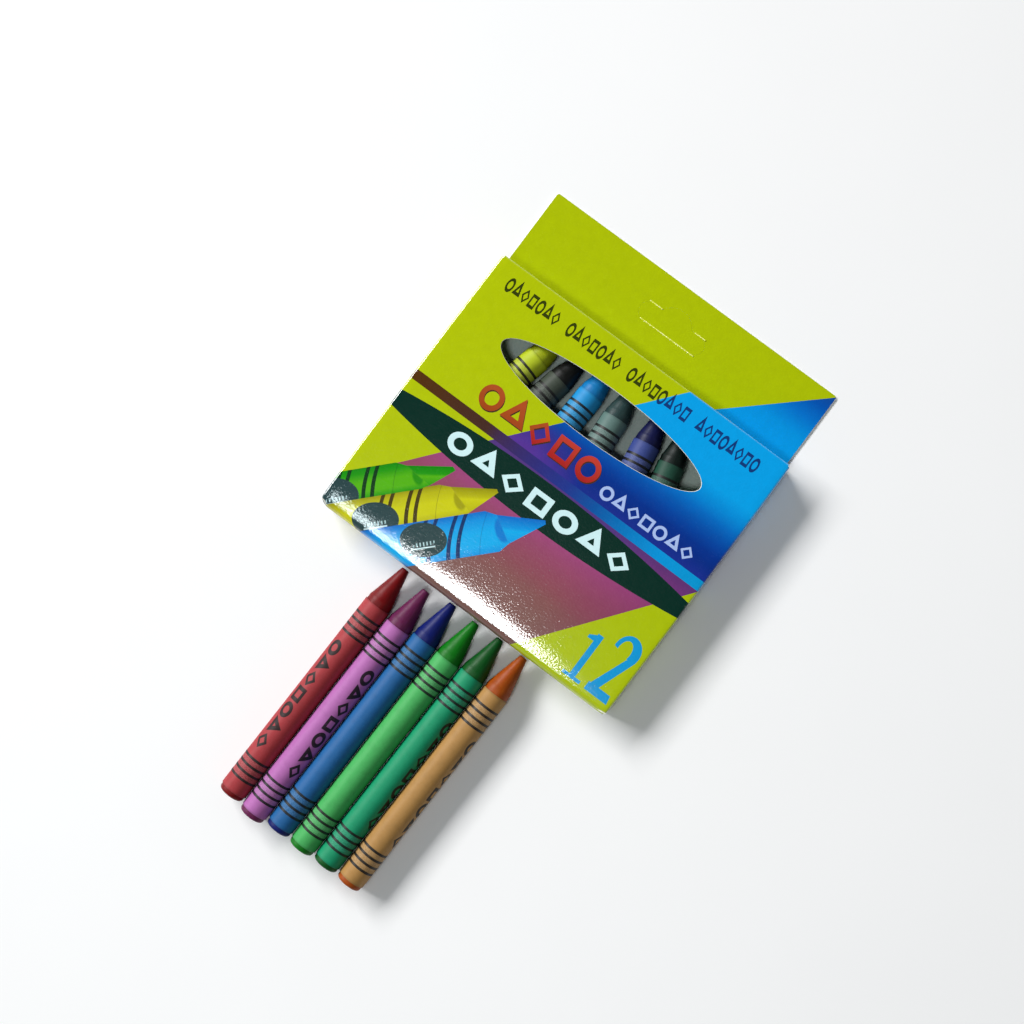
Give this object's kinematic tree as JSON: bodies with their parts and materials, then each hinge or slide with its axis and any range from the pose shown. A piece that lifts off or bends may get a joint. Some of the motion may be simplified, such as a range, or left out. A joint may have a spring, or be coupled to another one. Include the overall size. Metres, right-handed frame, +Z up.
{
  "type": "boxed crayon set",
  "caption": "Windowed hang-tab carton of paper-wrapped wax crayons, with part of the set lying inside and the rest laid side by side in front of it.",
  "frame": {"origin": "centre of the carton's outer back face, which lies on the table", "axes": "+X across the carton to the right, +Y along it towards the hang tab, +Z up out of the printed front"},
  "size_m": [0.108, 0.2105, 0.011],
  "materials": {
    "front_print": "gloss-coated printed board",
    "back_print": "gloss-coated printed board",
    "left_side_print": "gloss-coated printed board",
    "right_side_print": "gloss-coated printed board",
    "top_print": "gloss-coated printed board",
    "bottom_print": "gloss-coated printed board",
    "bare_board": "uncoated grey-white inside of the board",
    "wax_yellow": "coloured wax, slightly waxy sheen",
    "label_yellow": "printed paper wrapper, satin",
    "wax_black": "coloured wax, slightly waxy sheen",
    "label_black": "printed paper wrapper, satin",
    "wax_sky_blue": "coloured wax, slightly waxy sheen",
    "label_sky_blue": "printed paper wrapper, satin",
    "wax_grey": "coloured wax, slightly waxy sheen",
    "label_grey": "printed paper wrapper, satin",
    "wax_navy": "coloured wax, slightly waxy sheen",
    "label_navy": "printed paper wrapper, satin",
    "wax_dark_green": "coloured wax, slightly waxy sheen",
    "label_dark_green": "printed paper wrapper, satin",
    "wax_red": "coloured wax, slightly waxy sheen",
    "label_red": "printed paper wrapper, satin",
    "wax_violet": "coloured wax, slightly waxy sheen",
    "label_violet": "printed paper wrapper, satin",
    "wax_blue": "coloured wax, slightly waxy sheen",
    "label_blue": "printed paper wrapper, satin",
    "wax_light_green": "coloured wax, slightly waxy sheen",
    "label_light_green": "printed paper wrapper, satin",
    "wax_teal": "coloured wax, slightly waxy sheen",
    "label_teal": "printed paper wrapper, satin",
    "wax_orange": "coloured wax, slightly waxy sheen",
    "label_orange": "printed paper wrapper, satin"
  },
  "bodies": {
    "carton": {"front_panel": "front_print", "back_panel": "back_print", "hang_slot_plug": "back_print", "left_side_panel": "left_side_print", "right_side_panel": "right_side_print", "glue_flap": "bare_board", "top_left_dust_flap": "bare_board", "top_right_dust_flap": "bare_board", "bottom_left_dust_flap": "bare_board", "bottom_right_dust_flap": "bare_board", "bottom_closure": "bottom_print", "bottom_glued_lip": "bare_board"},
    "top_closure": {"top_closure": "top_print"},
    "top_tuck_tongue": {"top_tuck_tongue": "bare_board"},
    "crayon_yellow": {"crayon_yellow_wax": "wax_yellow", "crayon_yellow_label": "label_yellow"},
    "crayon_black": {"crayon_black_wax": "wax_black", "crayon_black_label": "label_black"},
    "crayon_sky_blue": {"crayon_sky_blue_wax": "wax_sky_blue", "crayon_sky_blue_label": "label_sky_blue"},
    "crayon_grey": {"crayon_grey_wax": "wax_grey", "crayon_grey_label": "label_grey"},
    "crayon_navy": {"crayon_navy_wax": "wax_navy", "crayon_navy_label": "label_navy"},
    "crayon_dark_green": {"crayon_dark_green_wax": "wax_dark_green", "crayon_dark_green_label": "label_dark_green"},
    "crayon_red": {"crayon_red_wax": "wax_red", "crayon_red_label": "label_red"},
    "crayon_violet": {"crayon_violet_wax": "wax_violet", "crayon_violet_label": "label_violet"},
    "crayon_blue": {"crayon_blue_wax": "wax_blue", "crayon_blue_label": "label_blue"},
    "crayon_light_green": {"crayon_light_green_wax": "wax_light_green", "crayon_light_green_label": "label_light_green"},
    "crayon_teal": {"crayon_teal_wax": "wax_teal", "crayon_teal_label": "label_teal"},
    "crayon_orange": {"crayon_orange_wax": "wax_orange", "crayon_orange_label": "label_orange"}
  },
  "joints": [
    {"name": "top_closure_hinge", "type": "hinge", "parent": "carton", "child": "top_closure", "pos_m": [0, 0.047, 0.01045], "axis": [1, 0, 0], "range_deg": [0, 75]},
    {"name": "top_tongue_fold", "type": "hinge", "parent": "top_closure", "child": "top_tuck_tongue", "pos_m": [0, 0.04645, 0.00118], "axis": [1, 0, 0], "range_deg": [-75, 0]},
    {"name": "crayon_yellow_slide", "type": "slide", "parent": "carton", "child": "crayon_yellow", "axis": [0.2334, 0.9724, 0], "range_m": [-0.0026, 0.0043]},
    {"name": "crayon_black_slide", "type": "slide", "parent": "carton", "child": "crayon_black", "axis": [0.1822, 0.9833, 0], "range_m": [-0.0004, 0.0058]},
    {"name": "crayon_sky_blue_slide", "type": "slide", "parent": "carton", "child": "crayon_sky_blue", "axis": [0.0349, 0.9994, 0], "range_m": [-0.002, 0.0034]},
    {"name": "crayon_grey_slide", "type": "slide", "parent": "carton", "child": "crayon_grey", "axis": [-0.0698, 0.9976, 0], "range_m": [-0.0006, 0.0048]},
    {"name": "crayon_navy_slide", "type": "slide", "parent": "carton", "child": "crayon_navy", "axis": [-0.1478, 0.989, 0], "range_m": [-0.0003, 0.0055]},
    {"name": "crayon_dark_green_slide", "type": "slide", "parent": "carton", "child": "crayon_dark_green", "axis": [-0.2164, 0.9763, 0], "range_m": [-0.0003, 0.0064]},
    {"name": "crayon_red_slide", "type": "slide", "parent": "carton", "child": "crayon_red", "axis": [-0.0201, -0.9998, 0], "range_m": [0, 0.087]},
    {"name": "crayon_violet_slide", "type": "slide", "parent": "carton", "child": "crayon_violet", "axis": [-0.0201, -0.9998, 0], "range_m": [0, 0.087]},
    {"name": "crayon_blue_slide", "type": "slide", "parent": "carton", "child": "crayon_blue", "axis": [-0.0201, -0.9998, 0], "range_m": [0, 0.087]},
    {"name": "crayon_light_green_slide", "type": "slide", "parent": "carton", "child": "crayon_light_green", "axis": [-0.0201, -0.9998, 0], "range_m": [0, 0.087]},
    {"name": "crayon_teal_slide", "type": "slide", "parent": "carton", "child": "crayon_teal", "axis": [-0.0201, -0.9998, 0], "range_m": [0, 0.087]},
    {"name": "crayon_orange_slide", "type": "slide", "parent": "carton", "child": "crayon_orange", "axis": [-0.0201, -0.9998, 0], "range_m": [0, 0.087]}
  ],
  "couplings": [
    {"joint": "top_tongue_fold", "follows": "top_closure_hinge", "ratio": -1}
  ]
}
